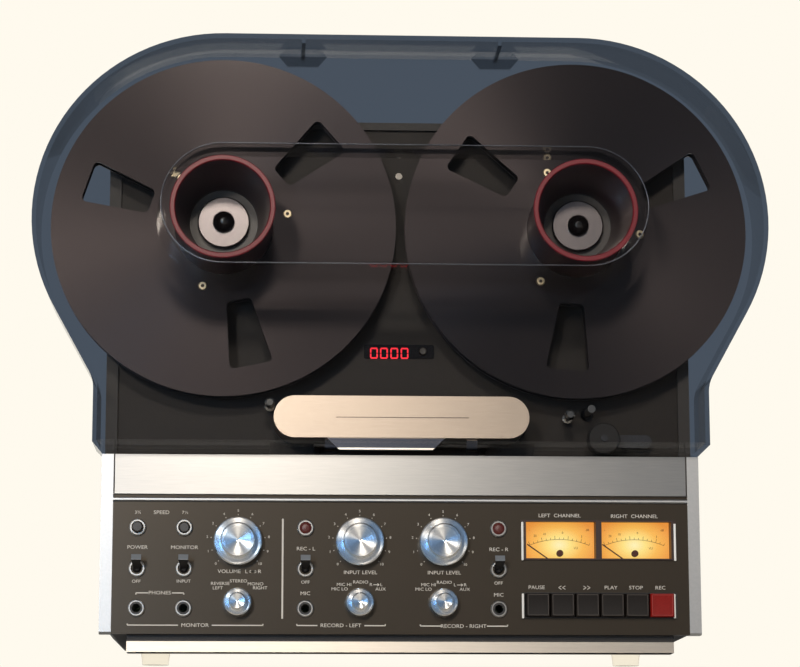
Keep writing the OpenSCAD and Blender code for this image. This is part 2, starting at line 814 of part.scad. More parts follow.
// Reel: two thin flanges with three windows each, on an open hub
window_in = hub_d / 2 + 2;
window_rim = 22;
window_out = reel_d / 2 - window_rim;
window_w = [19, 34];
window_corner = 4;

module reel_hub() {
    slab_y(flange_front + flange_t, flange_back - flange_t) difference() {
        circle(d = hub_d);
        circle(d = centre_hole_d);
    }
}

module reel_flanges(turn) {
    for (y = [flange_front, flange_back - flange_t]) slab_y(y, y + flange_t) difference() {
        circle(d = reel_d, $fn = 144);
        circle(d = centre_hole_d);
        for (k = [0 : 2]) rotate(turn + 120 * k) rounded([
            [window_in, -window_w[0] / 2], [window_out, -window_w[1] / 2],
            [window_out, window_w[1] / 2], [window_in, window_w[0] / 2]], window_corner);
    }
}

// Adapter: a deep cup through the reel's centre hole, with a rim in front
module adapter() {
    bore_r = spindle_d / 2 + run_fit;
    body_r = adapter_body_d / 2;
    rim_r = adapter_d / 2;
    mouth_r = adapter_mouth_d / 2;
    turned_y() polygon([
        [bore_r, adapter_floor_y], [adapter_floor_d / 2, adapter_floor_y], [mouth_r, rim_front + 1.2],
        [mouth_r + 0.8, rim_front], [rim_r - 0.6, rim_front], [rim_r, rim_front + 0.6],
        [rim_r, rim_front + rim_l], [body_r, rim_front + rim_l + 0.8], [body_r, flange_back], [bore_r, flange_back]]);
}

// Locking disc on the adapter's floor, with a dome to hold it by
module adapter_lock(turn) {
    back = adapter_floor_y - body_gap;
    front = back - lock_t;
    difference() {
        union() {
            turned_y() polygon([
                [0, front], [lock_d / 2 - 1, front], [lock_d / 2, front + 1], [lock_d / 2, back],
                [spindle_d / 2, back], [spindle_d / 2, adapter_floor_y + stem_l], [0, adapter_floor_y + stem_l]]);
            intersection() {
                translate([0, front, 0]) sphere(r = dome_r);
                rod_y(2 * dome_r + 1, front - dome_r - 1, front + 1);
            }
        }
        rotate([0, -turn, 0])
            box_between([dome_r + 2, front - 1, -index_w / 2], [lock_d / 2 - 2, front + index_depth, index_w / 2]);
    }
}

reel_turn = [41.5, 26];
lock_turn = [60, 180];
reel_brown = "#4a3c3c";

module left_turntable() { color("#3c3a38") at_xz(-spindle_span / 2, spindle_z) turntable(); }
module left_reel_hub() { color(reel_brown) at_xz(-spindle_span / 2, spindle_z) reel_hub(); }
module left_reel_flanges() { color(reel_brown) at_xz(-spindle_span / 2, spindle_z) reel_flanges(reel_turn[0]); }
module left_adapter() { color("#7a1c20") at_xz(-spindle_span / 2, spindle_z) adapter(); }
module left_adapter_lock() { color("#c4c0bc") at_xz(-spindle_span / 2, spindle_z) adapter_lock(lock_turn[0]); }
module right_turntable() { color("#3c3a38") at_xz(spindle_span / 2, spindle_z) turntable(); }
module right_reel_hub() { color(reel_brown) at_xz(spindle_span / 2, spindle_z) reel_hub(); }
module right_reel_flanges() { color(reel_brown) at_xz(spindle_span / 2, spindle_z) reel_flanges(reel_turn[1]); }
module right_adapter() { color("#7a1c20") at_xz(spindle_span / 2, spindle_z) adapter(); }
module right_adapter_lock() { color("#c4c0bc") at_xz(spindle_span / 2, spindle_z) adapter_lock(lock_turn[1]); }

// Capstan shaft, carried by its motor
module capstan() {
    color("#dedad2") at_xz(capstan_x, capstan_z) rod_y(capstan_d, capstan_front, chassis_back + motor_l - 10);
}

// Pinch roller on its swinging arm
pinch_axle_d = 5;
pinch_arm_w = 10;
pinch_arm_t = 6;
pinch_back = tape_y + pinch_w / 2;

module pinch_arm() {
    arm_y = pinch_back + 1;
    color("#8a8884") at_xz(pinch_pivot[0], pinch_pivot[1]) {
        rod_y(pinch_arm_w, arm_y, deck_y - body_gap);
        rod_y(pot_shaft_d, deck_y - body_gap, deck_back);
        box_between([-pinch_arm_l, arm_y, -pinch_arm_w / 2], [0, arm_y + pinch_arm_t, pinch_arm_w / 2]);
        at_xz(-pinch_arm_l, 0) {
            rod_y(pinch_arm_w, arm_y, arm_y + pinch_arm_t);
            rod_y(pinch_axle_d, pinch_back - pinch_w - 1.5, arm_y);
        }
    }
}

module pinch_roller() {
    color("#1d1b1a") at_xz(pinch_pivot[0] - pinch_arm_l, pinch_pivot[1]) {
        bore_r = pinch_axle_d / 2 + run_fit;
        front = pinch_back - pinch_w;
        turned_y() polygon([
            [bore_r, front], [pinch_d / 2 - 0.8, front], [pinch_d / 2, front + 0.8],
            [pinch_d / 2, pinch_back - 0.8], [pinch_d / 2 - 0.8, pinch_back], [bore_r, pinch_back + 0.5]]);
    }
}

// Head cover: a round-ended lid that folds down on two knuckles, with a finger lip under it
knuckle_x = 54;
knuckle_w = 8;
knuckle_d = 8;
lip_x = -12;
lip_w = [94, 71];
lip_h = 9;
lip_t = 3;

module pill(inset) {
    square([head_cover_w - head_cover_h, head_cover_h - 2 * inset], center = true);
    for (side = [-1, 1]) translate([side * (head_cover_w - head_cover_h) / 2, 0]) circle(r = head_cover_h / 2 - inset);
}

module head_cover() {
    lip_top = head_z - head_cover_h / 2;
    color("#cfc9c0") difference() {
        union() {
            at_xz(0, head_z) difference() {
                slab_y(head_cover_front, head_cover_back) pill(0);
                slab_y(head_cover_front + head_cover_t + 1, head_cover_back + 1) pill(head_cover_t);
            }
            at_xz(lip_x, lip_top) slab_y(head_cover_front + 0.8, head_cover_front + 0.8 + lip_t) polygon([
                [-lip_w[1] / 2, -lip_h], [lip_w[1] / 2, -lip_h], [lip_w[0] / 2, head_cover_t], [-lip_w[0] / 2, head_cover_t]]);
            for (side = [-1, 1]) translate([side * knuckle_x - knuckle_w / 2, hinge_at[0], hinge_at[1]])
                rotate([0, 90, 0]) cylinder(d = knuckle_d, h = knuckle_w);
            for (side = [-1, 1])
                box_between([side * knuckle_x - knuckle_w / 2, hinge_at[0] - knuckle_d / 2, hinge_at[1]],
                            [side * knuckle_x + knuckle_w / 2, hinge_at[0] + knuckle_d / 2, lip_top + head_cover_t]);
        }
        translate([-head_cover_w / 2, hinge_at[0], hinge_at[1]])
            rotate([0, 90, 0]) cylinder(d = hinge_d + 2 * run_fit, h = head_cover_w);
    }
}

// Dust cover: round ends about the spindles, a waist above a narrower foot, and a sloped chin
function tangent_at(i) =
    [-spindle_span / 2, spindle_z] - (cover_r - i) * [cos(cover_slant), sin(cover_slant)];

function waist_at(i) =
    let (p = tangent_at(i), w = cover_foot_w / 2 - i)
    [-w, p[1] - (-w - p[0]) / tan(cover_slant)];

function flip_x(p) = [-p[0], p[1]];

module waist_fillet(i) {
    r = cover_waist_r + i;
    c = waist_at(i);
    run = r * tan(cover_slant / 2);
    centre = c + [-r, -run];
    difference() {
        polygon([c, c + run * [-sin(cover_slant), cos(cover_slant)], centre, c - [0, run]]);
        translate(centre) circle(r + arc_lap);
    }
}

module cover_outline(i) {
    r = cover_r - i;
    p = tangent_at(i);
    c = waist_at(i);
    foot = [c[0] + cover_chin_z - cover_foot_z, cover_foot_z + i];
    top = [-spindle_span / 2, spindle_z + r];
    hip = [-spindle_span / 2, spindle_z];
    chin = [c[0], cover_chin_z + i / 2];
    polygon([top, flip_x(top), flip_x(hip), flip_x(p), flip_x(c), flip_x(chin), flip_x(foot),
             foot, chin, c, p, hip]);
    for (side = [-1, 1]) translate([side * spindle_span / 2, spindle_z]) circle(r + arc_lap, $fn = 144);
    mirrored_x() waist_fillet(i);
}

// The side view of the cover, cut back along the chin
module cover_side(i) {
    slope = (cover_chin_z - cover_foot_z) / cover_chin_d;
    rise = i * sqrt(1 + slope * slope);
    top = spindle_z + cover_r + 1;
    front = -cover_front + i;
    polygon([
        [front, cover_chin_z + rise - slope * i],
        [-cover_front + cover_chin_d + (rise - i) / slope, cover_foot_z + i],
        [cover_back + (i > 0 ? 1 : 0), cover_foot_z + i], [cover_back + (i > 0 ? 1 : 0), top], [front, top]]);
}

module cover_hood(i) {
    intersection() {
        slab_y(-cover_front + i, cover_back + (i > 0 ? 1 : 0)) cover_outline(i);
        bar_x(2 * (spindle_span + cover_r)) cover_side(i);
    }
}

// The raised field in front of the adapters
bulge_flare = 5;

module cover_bulge(i) {
    front = -cover_front - bulge_rise + i;
    back = -cover_front + i + (i > 0 ? cover_t : 0);
    r = bulge_r - i;
    flare = bulge_flare * (back - front) / bulge_rise;
    on_both_spindles() cone_y(2 * r, 2 * (r + flare), front, back);
    at_xz(0, spindle_z) bar_x(spindle_span) polygon([
        [front, -r], [back, -r - flare], [back, r + flare], [front, r]]);
}

// Two stiffening tabs under the cover's top wall
tab_x = 76;
tab_stem_w = 3;
tab_foot_w = [24, 38];
tab_foot_h = 8;
tab_l = 8;

module cover_tabs() {
    under = spindle_z + cover_r - cover_t;
    mirrored_x() translate([tab_x, 0, under]) {
        box_between([-tab_stem_w / 2, -cover_front + cover_t, -tab_stem_w], [tab_stem_w / 2, cover_back, 0.5]);
        slab_y(cover_back - 3, cover_back) polygon([
            [-tab_foot_w[0] / 2, -tab_foot_h], [tab_foot_w[0] / 2, -tab_foot_h],
            [tab_foot_w[1] / 2, 0.5], [-tab_foot_w[1] / 2, 0.5]]);
    }
}

notch_w = head_cover_w + 6;
notch_front = -11;

module dust_cover() {
    color("#7d93a8", 0.35) {
        difference() {
            union() {
                cover_hood(0);
                cover_bulge(0);
            }
            cover_hood(cover_t);
            cover_bulge(cover_t);
            box_between([-notch_w / 2, notch_front, console_h - 1], [notch_w / 2, cover_back + 1, cover_chin_z + cover_t]);
        }
        cover_tabs();
    }
}

// Everything is drawn from the control panel's face, then centred front to back
module placed() {
    translate([0, panel_y, 0]) children();
}

placed() cabinet();
placed() rear_cover();
placed() feet();
placed() chassis_plate();
placed() deck_plate();
placed() control_panel();
placed() brushed_strip();
placed() silver_trims();
placed() drive_motors();
placed() electronics();
placed() head_block();
placed() tape_heads();
placed() tape_guides();
placed() counter_window();
placed() counter_reset();
placed() panel_rings();
placed() jack_sockets();
placed() record_lamps();
placed() meter_housing();
placed() meter_dials();
placed() meter_windows();
placed() left_needle();
placed() right_needle();
placed() key_frame();
placed() pause_key();
placed() rewind_key();
placed() forward_key();
placed() play_key();
placed() stop_key();
placed() record_key();
placed() slow_button();
placed() fast_button();
placed() power_toggle();
placed() monitor_toggle();
placed() left_record_toggle();
placed() right_record_toggle();
placed() volume_knob();
placed() volume_cap();
placed() left_level_knob();
placed() left_level_cap();
placed() right_level_knob();
placed() right_level_cap();
placed() monitor_selector();
placed() left_selector();
placed() right_selector();
placed() left_turntable();
placed() left_reel_hub();
placed() left_reel_flanges();
placed() left_adapter();
placed() left_adapter_lock();
placed() right_turntable();
placed() right_reel_hub();
placed() right_reel_flanges();
placed() right_adapter();
placed() right_adapter_lock();
placed() capstan();
placed() pinch_arm();
placed() pinch_roller();
placed() head_cover();
placed() dust_cover();
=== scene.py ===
import math

import bmesh
import bpy
from mathutils import Matrix, Vector


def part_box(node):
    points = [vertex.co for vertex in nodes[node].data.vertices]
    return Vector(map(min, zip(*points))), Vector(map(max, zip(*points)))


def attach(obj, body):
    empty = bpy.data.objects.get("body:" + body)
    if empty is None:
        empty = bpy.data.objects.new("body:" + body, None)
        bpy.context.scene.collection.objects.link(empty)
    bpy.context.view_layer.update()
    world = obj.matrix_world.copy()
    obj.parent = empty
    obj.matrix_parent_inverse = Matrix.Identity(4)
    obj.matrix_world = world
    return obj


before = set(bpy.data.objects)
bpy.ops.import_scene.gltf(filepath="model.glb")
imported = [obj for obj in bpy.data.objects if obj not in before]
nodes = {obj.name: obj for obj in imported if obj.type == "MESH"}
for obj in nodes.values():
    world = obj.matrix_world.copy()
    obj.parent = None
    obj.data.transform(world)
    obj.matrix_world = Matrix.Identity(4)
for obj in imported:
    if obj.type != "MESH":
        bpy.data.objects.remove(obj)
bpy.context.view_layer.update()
datum = Vector((0, -0.062, 0.004))  # places below count from the control panel's face
print("frame loaded:", len(nodes), "solid pieces")


def at(x, y, z):  # millimetres to the shared frame
    return Vector((x, y, z)) / 1000 + datum


def middleOf(name):  # a solid's middle, back in millimetres
    low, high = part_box(name)
    return ((low + high) / 2 - datum) * 1000


def paint(code):  # a colour as it looks on screen, made linear
    parts = [int(code[i:i + 2], 16) / 255 for i in (0, 2, 4)]
    return [c / 12.92 if c <= 0.04045 else ((c + 0.055) / 1.055) ** 2.4 for c in parts] + [1]


# Finishes

def shaderOf(mat):
    return mat.node_tree.nodes["Principled BSDF"]


def setInputs(node, values):
    for name, value in values.items():
        node.inputs[name].default_value = value


def newFinish(name, colour, rough, metal=0.0):
    mat = bpy.data.materials.new(name)
    mat.use_nodes = True
    setInputs(shaderOf(mat), {"Base Color": paint(colour), "Roughness": rough, "Metallic": metal})
    return mat


def addNode(mat, kind, **values):
    node = mat.node_tree.nodes.new(kind)
    for key, value in values.items():
        if key in node.inputs:
            node.inputs[key].default_value = value
        else:
            setattr(node, key, value)
    return node


def wire(mat, a, outName, b, inName):
    mat.node_tree.links.new(a.outputs[outName], b.inputs[inName])


def objectCoords(mat, scale=(1, 1, 1), centre=(0, 0, 0)):
    coords = addNode(mat, "ShaderNodeTexCoord")
    mapping = addNode(mat, "ShaderNodeMapping", Scale=scale)
    mapping.inputs["Location"].default_value = [-c * s for c, s in zip(centre, scale)]
    wire(mat, coords, "Object", mapping, "Vector")
    return mapping


def measured(mat, a, outName, operation, *values):
    node = addNode(mat, "ShaderNodeMath", operation=operation)
    wire(mat, a, outName, node, 0)
    for i, value in enumerate(values):
        node.inputs[i + 1].default_value = value
    return node


def grain(mat, scale, stretch=(1, 1, 1), detail=3.0):
    mapping = objectCoords(mat, stretch)
    noise = addNode(mat, "ShaderNodeTexNoise", Scale=scale, Detail=detail)
    wire(mat, mapping, "Vector", noise, "Vector")
    return noise


def tintBy(mat, noise, dark, light, low=0.35, high=0.65):
    ramp = addNode(mat, "ShaderNodeValToRGB")
    for stop, position, colour in zip(ramp.color_ramp.elements, (low, high), (dark, light)):
        stop.position, stop.color = position, paint(colour)
    wire(mat, noise, "Fac", ramp, "Fac")
    wire(mat, ramp, "Color", shaderOf(mat), "Base Color")


def roughBy(mat, noise, low, high):
    spread = addNode(mat, "ShaderNodeMapRange")
    setInputs(spread, {"From Min": 0.3, "From Max": 0.7, "To Min": low, "To Max": high})
    wire(mat, noise, "Fac", spread, "Value")
    wire(mat, spread, "Result", shaderOf(mat), "Roughness")


def bumpBy(mat, source, strength, depth):
    bump = addNode(mat, "ShaderNodeBump", Strength=strength, Distance=depth)
    wire(mat, source, "Fac", bump, "Height")
    wire(mat, bump, "Normal", shaderOf(mat), "Normal")


def speckled(name, dark, light, rough, metal=0.0, scale=900, depth=0.00004):
    mat = newFinish(name, light, rough, metal)
    noise = grain(mat, scale)
    tintBy(mat, noise, dark, light)
    bumpBy(mat, noise, 0.4, depth)
    return mat


def streak(mat, axis, amount):  # highlights drawn out across the marks of the tool
    tangent = addNode(mat, "ShaderNodeTangent", direction_type="RADIAL", axis=axis)
    setInputs(shaderOf(mat), {"Anisotropic": amount, "Anisotropic Rotation": 0.25})
    wire(mat, tangent, "Tangent", shaderOf(mat), "Tangent")


def brushed(name, dark, light, rough, stretch, scale=60):
    mat = newFinish(name, light, rough, 1.0)
    noise = grain(mat, scale, stretch, 4.0)
    tintBy(mat, noise, dark, light)
    roughBy(mat, noise, rough - 0.03, rough + 0.03)
    streak(mat, "Z", 0.75)
    return mat


def spun(name, dark, light, rough, centre):
    mat = newFinish(name, light, rough, 1.0)
    mapping = objectCoords(mat, centre=centre)
    wave = addNode(mat, "ShaderNodeTexWave", wave_type="RINGS", rings_direction="Y", Scale=700, Distortion=1.5)
    wire(mat, mapping, "Vector", wave, "Vector")
    tintBy(mat, wave, dark, light, 0.1, 0.9)
    bumpBy(mat, wave, 0.1, 0.00001)
    streak(mat, "Y", 0.85)
    return mat


def overlay(mat, step, colour):  # lays a second colour where the step is 1
    shader = shaderOf(mat)
    under = shader.inputs["Base Color"].links[0].from_socket
    mix = addNode(mat, "ShaderNodeMixRGB", Color2=paint(colour))
    wire(mat, step, "Result", mix, "Fac")
    mat.node_tree.links.new(under, mix.inputs["Color1"])
    wire(mat, mix, "Color", shader, "Base Color")


def sectors(mat, centre, tilt, colour, bare=0.92, full=0.45):  # paints a reflection: blue laid into two facing wedges on the turned metal
    flat = objectCoords(mat, (1, 0, 1), centre)
    unit = addNode(mat, "ShaderNodeVectorMath", operation="NORMALIZE")
    wire(mat, flat, "Vector", unit, 0)
    along = addNode(mat, "ShaderNodeVectorMath", operation="DOT_PRODUCT")
    wire(mat, unit, "Vector", along, 0)
    along.inputs[1].default_value = (math.sin(tilt), 0, math.cos(tilt))
    step = addNode(mat, "ShaderNodeMapRange")
    setInputs(step, {"From Min": bare, "From Max": full})
    wire(mat, measured(mat, along, "Value", "ABSOLUTE"), "Value", step, "Value")
    overlay(mat, step, colour)


def dress(mat, *names):
    for name in names:
        mesh = nodes[name].data
        mesh.materials.clear()
        mesh.materials.append(mat)


finishes = {
    "cabinetBlack": speckled("cabinetBlack", "211e1c", "2b2725", 0.55),
    "deckGrain": speckled("deckGrain", "1b1714", "2a241f", 0.5, scale=900, depth=0.0003),
    "panelPaint": speckled("panelPaint", "28221b", "2d261e", 0.3, scale=1500, depth=0.00002),
    "rearPaint": speckled("rearPaint", "201e1d", "292624", 0.6),
    "brushedStrip": brushed("brushedStrip", "a6a5a3", "b0aeab", 0.33, (1, 90, 90)),
    "brightTrim": speckled("brightTrim", "acacab", "b1b0af", 0.4, 1.0, 700, 0.000002),
    "footAluminium": brushed("footAluminium", "d6cdc0", "e0d7cb", 0.4, (1, 90, 90)),
    "castMetal": speckled("castMetal", "777a7c", "8f9294", 0.6, 1.0, 500),
    "motorSteel": speckled("motorSteel", "4b4e52", "5f6266", 0.45, 1.0, 500),
    "boardGreen": speckled("boardGreen", "2c4a22", "3c5e2e", 0.45, 0.0, 300),
    "blackMoulding": speckled("blackMoulding", "181412", "221d1a", 0.45),
    "meterFrame": newFinish("meterFrame", "2c120c", 0.4),
    "headMetal": brushed("headMetal", "8d8b88", "aaa8a4", 0.3, (1, 1, 60), 40),
    "armDark": speckled("armDark", "24262b", "2e3138", 0.5, 0.3),
    "polishedSteel": newFinish("polishedSteel", "a5a19a", 0.16, 1.0),
    "counterBlack": newFinish("counterBlack", "0f0b0b", 0.12),
    "buttonBlack": speckled("buttonBlack", "211d19", "2b2621", 0.4),
    "ringMetal": newFinish("ringMetal", "a9a6a1", 0.3, 1.0),
    "lampRed": newFinish("lampRed", "561d16", 0.4),
    "needleDark": newFinish("needleDark", "3a120a", 0.5),
    "keyBlack": speckled("keyBlack", "18130f", "1e1814", 0.5, scale=1200),
    "keyRed": speckled("keyRed", "7e0f08", "8c150c", 0.55, scale=1200),
    "leverDark": speckled("leverDark", "1c1a1a", "262322", 0.35),
    "turntableDark": newFinish("turntableDark", "2c2a29", 0.4, 1.0),
    "reelBrown": speckled("reelBrown", "272223", "2b2628", 0.34, 0.8, 900, 0.000001),
    "rollerRubber": newFinish("rollerRubber", "1b1918", 0.7),
    "satinCover": brushed("satinCover", "cbbdaf", "d3c5b7", 0.38, (1, 40, 40), 90),
}

dressing = {
    "cabinetBlack": ["cabinet"], "deckGrain": ["deck_plate"], "panelPaint": ["control_panel"],
    "rearPaint": ["rear_cover"], "brushedStrip": ["brushed_strip"], "brightTrim": ["silver_trims"],
    "footAluminium": ["feet"], "castMetal": ["chassis_plate"], "motorSteel": ["drive_motors"],
    "boardGreen": ["electronics"], "blackMoulding": ["head_block", "key_frame"], "meterFrame": ["meter_housing"],
    "headMetal": ["tape_heads"], "armDark": ["pinch_arm"], "polishedSteel": ["tape_guides", "capstan"],
    "counterBlack": ["counter_window"], "buttonBlack": ["counter_reset", "slow_button", "fast_button"],
    "ringMetal": ["panel_rings", "jack_sockets"], "lampRed": ["record_lamps"],
    "needleDark": ["left_needle", "right_needle"],
    "keyBlack": ["pause_key", "rewind_key", "forward_key", "play_key", "stop_key"], "keyRed": ["record_key"],
    "leverDark": ["power_toggle", "monitor_toggle", "left_record_toggle", "right_record_toggle"],
    "turntableDark": ["left_turntable", "right_turntable"],
    "reelBrown": ["left_reel_hub", "right_reel_hub", "left_reel_flanges", "right_reel_flanges"],
    "rollerRubber": ["pinch_roller"], "satinCover": ["head_cover"],
}
for finish, names in dressing.items():
    dress(finishes[finish], *names)
setInputs(shaderOf(finishes["panelPaint"]), {"Specular Tint": (1, 0.86, 0.7, 1)})
for finish, shine in (("deckGrain", 0.25), ("keyBlack", 0.2), ("keyRed", 0.2)):
    setInputs(shaderOf(finishes[finish]), {"Specular IOR Level": shine})
streak(finishes["reelBrown"], "Y", 0.7)
setInputs(shaderOf(finishes["reelBrown"]), {"Coat Weight": 0.6, "Coat Roughness": 0.06})  # clear lacquer

# Knobs: turned faces whose fine rings run round each shaft, pale, with a blue reflection painted into two facing
# wedges
knobFace = {"dark": "e0deda", "light": "fffdf8", "paintedReflection": "bcd3ea", "rough": 0.2}
for tilt, *names in ((0.1, "volume_knob", "volume_cap"), (-0.5, "left_level_knob", "left_level_cap"),
                     (-0.55, "right_level_knob", "right_level_cap"), (0.1, "monitor_selector"),
                     (-0.3, "left_selector"), (-0.4, "right_selector")):
    low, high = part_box(names[0])
    middle = (low + high) / 2
    turnedFaceAndReflection = spun(names[0] + "TurnedAndReflection", knobFace["dark"], knobFace["light"], knobFace["rough"], middle)
    # painted reflection: blue in the two wedges that face across each knob, turned by tilt
    sectors(turnedFaceAndReflection, middle, tilt, knobFace["paintedReflection"])
    dress(turnedFaceAndReflection, *names)


def splitAlong(mat, axis, edge, soft):  # 1 past the edge, or before it when soft is negative; soft in millimetres
    split = addNode(mat, "ShaderNodeSeparateXYZ")
    wire(mat, objectCoords(mat), "Vector", split, "Vector")
    step = addNode(mat, "ShaderNodeMapRange")
    setInputs(step, {"From Min": edge - soft / 1000, "From Max": edge + soft / 1000})
    wire(mat, split, axis, step, "Value")
    return step


def twoTone(mat, step, socket, front, back):
    ramp = addNode(mat, "ShaderNodeValToRGB")
    for stop, colour in zip(ramp.color_ramp.elements, (front, back)):
        stop.color = colour
    wire(mat, step, "Result", ramp, "Fac")
    wire(mat, ramp, "Color", shaderOf(mat), socket)


def farFrom(mat, x, z, wide=1.0, high=1.0, middle=0.0):  # distance from two axes, x to each side of the middle
    split = addNode(mat, "ShaderNodeSeparateXYZ")
    wire(mat, objectCoords(mat), "Vector", split, "Vector")
    mirrored = measured(mat, measured(mat, split, "X", "SUBTRACT", middle), "Value", "ABSOLUTE")
    side = measured(mat, mirrored, "Value", "SUBTRACT", x)
    rise = measured(mat, split, "Z", "SUBTRACT", z)
    joined = addNode(mat, "ShaderNodeCombineXYZ")
    wire(mat, measured(mat, side, "Value", "DIVIDE", wide), "Value", joined, "X")
    wire(mat, measured(mat, rise, "Value", "DIVIDE", high), "Value", joined, "Z")
    reach = addNode(mat, "ShaderNodeVectorMath", operation="LENGTH")
    wire(mat, joined, "Vector", reach, 0)
    return reach


# Head cover: its finger lip is darker, with a painted highlight along its lower edge
lip = {"top": 156.6, "topSoft": 0.3, "edge": 1.3, "edgeSoft": 0.1, "dark": "4d525f", "paintedGlint": "fff8ee"}
satin = finishes["satinCover"]
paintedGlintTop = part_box("head_cover")[0].z + lip["edge"] / 1000
overlay(satin, splitAlong(satin, "Z", at(0, 0, lip["top"]).z, -lip["topSoft"]), lip["dark"])
# painted highlight: a near-white band along the bottom of the head cover
overlay(satin, splitAlong(satin, "Z", paintedGlintTop, -lip["edgeSoft"]), lip["paintedGlint"])

# Feet: a brushed bar in front, clear rubber at the back
rearFoot = {"from": 60, "soft": 0.2, "colour": "f4efe4", "ior": 1.05}
off, on = (0, 0, 0, 1), (1, 1, 1, 1)
footMetal = finishes["footAluminium"]
rearFeet = splitAlong(footMetal, "Y", at(0, rearFoot["from"], 0).y, rearFoot["soft"])
overlay(footMetal, rearFeet, rearFoot["colour"])
twoTone(footMetal, rearFeet, "Metallic", on, off)
twoTone(footMetal, rearFeet, "Transmission Weight", off, on)
setInputs(shaderOf(footMetal), {"IOR": rearFoot["ior"]})

# Adapters: red rim, dark inside; locking discs: satin disc, black dome
reelAxis = {"x": 136.5, "z": 324}
adapter = {"wallFrom": 26.2, "redFrom": 38.1, "rim": 1.2, "soft": 0.2, "discFront": 0.5, "ramp": 50,
           "floor": "45413f", "wall": "2c1315", "red": "a52034", "front": "831626",
           "dome": "14100f", "domeRough": 0.1, "disc": "8a8485", "discRough": 0.25}
rimRed = newFinish("rimRed", "8a1a22", 0.35)
rimPlace = at(reelAxis["x"], 0, reelAxis["z"])
rimReach = farFrom(rimRed, rimPlace.x, rimPlace.z)
tones = addNode(rimRed, "ShaderNodeValToRGB")
tones.color_ramp.interpolation = "CONSTANT"
floorTone, wallTone = tones.color_ramp.elements
floorTone.color = paint(adapter["floor"])
wallTone.position, wallTone.color = adapter["wallFrom"] / adapter["ramp"], paint(adapter["wall"])
tones.color_ramp.elements.new(adapter["redFrom"] / adapter["ramp"]).color = paint(adapter["red"])
wire(rimRed, measured(rimRed, rimReach, "Value", "MULTIPLY", 1000 / adapter["ramp"]), "Value", tones, "Fac")
wire(rimRed, tones, "Color", shaderOf(rimRed), "Base Color")
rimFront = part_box("left_adapter")[0].y + adapter["rim"] / 1000
overlay(rimRed, splitAlong(rimRed, "Y", rimFront, -adapter["soft"]), adapter["front"])
dress(rimRed, "left_adapter", "right_adapter")

lockSilver = newFinish("lockSilver", adapter["disc"], adapter["discRough"])
lockStep = splitAlong(lockSilver, "Y", at(0, adapter["discFront"], 0).y, adapter["soft"])
twoTone(lockSilver, lockStep, "Base Color", paint(adapter["dome"]), paint(adapter["disc"]))
twoTone(lockSilver, lockStep, "Metallic", off, on)
twoTone(lockSilver, lockStep, "Roughness", [adapter["domeRough"]] * 3 + [1], [adapter["discRough"]] * 3 + [1])
dress(lockSilver, "left_adapter_lock", "right_adapter_lock")

# Meter dials: lit from behind, brightest just below the middle
meter = {"x": 148.86, "z": 80.28, "pitch": 57.2, "dialY": 10.5, "glowDrop": 2.5, "glowWide": 30, "glowHigh": 22,
         "glow": 0.95, "tones": [(0, "fff9c4"), (0.28, "ffe98c"), (0.6, "fbbf58"), (1, "ee9a42")]}
dialGlow = newFinish("dialGlow", "402008", 0.6)
reach = farFrom(dialGlow, meter["pitch"] / 2000, at(0, 0, meter["z"] - meter["glowDrop"]).z,
                meter["glowWide"] / 1000, meter["glowHigh"] / 1000, meter["x"] / 1000)
glow = addNode(dialGlow, "ShaderNodeValToRGB")
for position, _ in meter["tones"][1:-1]:
    glow.color_ramp.elements.new(position)
for stop, (_, colour) in zip(glow.color_ramp.elements, meter["tones"]):
    stop.color = paint(colour)
wire(dialGlow, reach, "Value", glow, "Fac")
wire(dialGlow, glow, "Color", shaderOf(dialGlow), "Emission Color")
setInputs(shaderOf(dialGlow), {"Emission Strength": meter["glow"]})
dress(dialGlow, "meter_dials")


def clearFinish(name, tint, shine, rough=0.04, inner=0.5):  # inner: how much the far side of a wall shines
    mat = bpy.data.materials.new(name)
    mat.use_nodes = True
    tree = mat.node_tree
    tree.nodes.remove(tree.nodes["Principled BSDF"])
    film = addNode(mat, "ShaderNodeBsdfTransparent", Color=tint)
    gloss = addNode(mat, "ShaderNodeBsdfGlossy", Roughness=rough)
    edge = addNode(mat, "ShaderNodeFresnel", IOR=shine)
    facing = addNode(mat, "ShaderNodeNewGeometry")
    outside = measured(mat, facing, "Backfacing", "MULTIPLY_ADD", inner - 1, 1)
    sheen = addNode(mat, "ShaderNodeMath", operation="MULTIPLY")
    wire(mat, edge, "Fac", sheen, 0)
    wire(mat, outside, "Value", sheen, 1)
    both = addNode(mat, "ShaderNodeMixShader")
    wire(mat, sheen, "Value", both, 0)
    wire(mat, film, "BSDF", both, 1)
    wire(mat, gloss, "BSDF", both, 2)
    wire(mat, both, "Shader", tree.nodes["Material Output"], "Surface")
    return mat


dress(clearFinish("meterGlass", (0.99, 0.97, 0.94, 1), 1.15), "meter_windows")
dress(clearFinish("smokedAcrylic", (0.90, 0.893, 0.885, 1), 1.2, inner=0.15), "dust_cover")
print("finishes set on", len(nodes), "solid pieces")


# New pieces

def addPiece(name, bm, mat, body, smooth=False):
    mesh = bpy.data.meshes.new(name)
    bm.to_mesh(mesh)
    bm.free()
    mesh.materials.append(mat)
    if smooth:
        mesh.shade_smooth()
    piece = bpy.data.objects.new(name, mesh)
    bpy.context.scene.collection.objects.link(piece)
    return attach(piece, body)


def addBox(bm, low, high):
    made = bmesh.ops.create_cube(bm, size=1)["verts"]
    bmesh.ops.scale(bm, vec=high - low, verts=made)
    bmesh.ops.translate(bm, vec=(low + high) / 2, verts=made)


